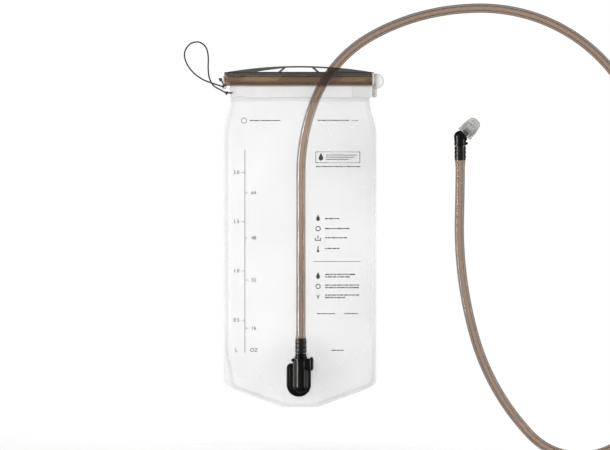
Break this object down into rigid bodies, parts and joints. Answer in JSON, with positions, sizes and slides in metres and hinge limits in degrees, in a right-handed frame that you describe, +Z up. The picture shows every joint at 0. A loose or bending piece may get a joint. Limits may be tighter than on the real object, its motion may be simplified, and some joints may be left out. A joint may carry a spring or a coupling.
{
  "type": "hydration bladder",
  "caption": "Flat film water bag with a slide-on closure and tethered slider, a shut-off port low on its front, and a drink tube looping to a twist bite valve.",
  "frame": {"origin": "middle of the bag's flat back", "axes": "+Z up to the mouth as the bladder hangs, -Y out of the printed front, +X to the right seen from the front"},
  "size_m": [0.5152, 0.0291, 0.502],
  "materials": {
    "bag_film": "translucent milky TPU film, soft satin gloss",
    "milky_plastic": "moulded milky plastic, soft gloss",
    "smoke_plastic": "smoke-brown translucent moulding, glossy",
    "cord": "thin braided cord, dark grey",
    "black_plastic": "black moulded plastic, glossy with soft edges",
    "spring_steel": "drawn stainless spring wire",
    "seal_rubber": "black moulded seal rubber",
    "smoke_tube": "smoke-tinted translucent flexible tube, glossy",
    "clear_plastic": "clear moulded plastic, glossy",
    "silicone": "clear soft silicone, satin"
  },
  "bodies": {
    "bag": {"front_panel": "bag_film", "back_panel": "bag_film", "front_closure_strip": "milky_plastic", "back_closure_strip": "milky_plastic", "closure_end_stop": "milky_plastic", "tether_cord": "cord", "port_flange": "black_plastic", "port_housing": "black_plastic", "poppet_spring": "spring_steel", "button_spring": "spring_steel"},
    "slider": {"slider": "smoke_plastic"},
    "button": {"release_button": "black_plastic", "latch_plate": "black_plastic"},
    "poppet": {"port_poppet": "milky_plastic", "poppet_seal": "seal_rubber"},
    "plug_seal": {"plug_o_ring": "seal_rubber"},
    "tube_run": {"tube_plug": "black_plastic", "tube_run": "smoke_tube"},
    "tube_loop": {"tube_loop": "smoke_tube"},
    "tube_end": {"tube_end": "smoke_tube"},
    "elbow": {"elbow": "black_plastic", "stem_o_ring": "seal_rubber", "valve_core": "clear_plastic"},
    "valve": {"twist_collar": "clear_plastic", "bite_valve": "silicone"}
  },
  "joints": [
    {"name": "slider_slide", "type": "slide", "parent": "bag", "child": "slider", "axis": [-1, 0, 0], "range_m": [0, 0.168], "deforming": ["tether_cord"]},
    {"name": "button_press", "type": "slide", "parent": "bag", "child": "button", "axis": [-1, 0, 0], "range_m": [0, 0.0022], "stiffness_N_per_m": 600, "springref_m": -0.002, "deforming": ["button_spring"]},
    {"name": "plug_release", "type": "slide", "parent": "bag", "child": "plug_seal", "axis": [0, 0, 1], "range_m": [0, 0.024], "deforming": ["poppet_spring"]},
    {"name": "tube_swivel", "type": "hinge", "parent": "plug_seal", "child": "tube_run", "pos_m": [0.001, -0.0175, -0.124], "axis": [0, 0, -1], "range_deg": [0, 180]},
    {"name": "poppet_travel", "type": "slide", "parent": "bag", "child": "poppet", "axis": [0, 0, 1], "range_m": [0, 0.0022], "deforming": ["poppet_spring"]},
    {"name": "loop_twist", "type": "hinge", "parent": "tube_run", "child": "tube_loop", "pos_m": [0.19816, -0.006, 0.26021], "axis": [1, 0, 0], "range_deg": [-60, 60]},
    {"name": "loop_bend", "type": "hinge", "parent": "tube_loop", "child": "tube_end", "pos_m": [0.30775, -0.006, -0.23189], "axis": [0, 1, 0], "range_deg": [-10, 20], "stiffness_Nm_per_rad": 0.2, "springref_deg": 7.91},
    {"name": "elbow_swivel", "type": "hinge", "parent": "tube_end", "child": "elbow", "pos_m": [0.17596, -0.006, 0.10874], "axis": [0, 0, 1], "continuous": true},
    {"name": "valve_twist", "type": "hinge", "parent": "elbow", "child": "valve", "pos_m": [0.17596, -0.006, 0.11694], "axis": [0.682, 0, 0.7314], "range_deg": [0, 90]}
  ],
  "couplings": [
    {"joint": "poppet_travel", "follows": "plug_release", "ratio": 0.09}
  ]
}
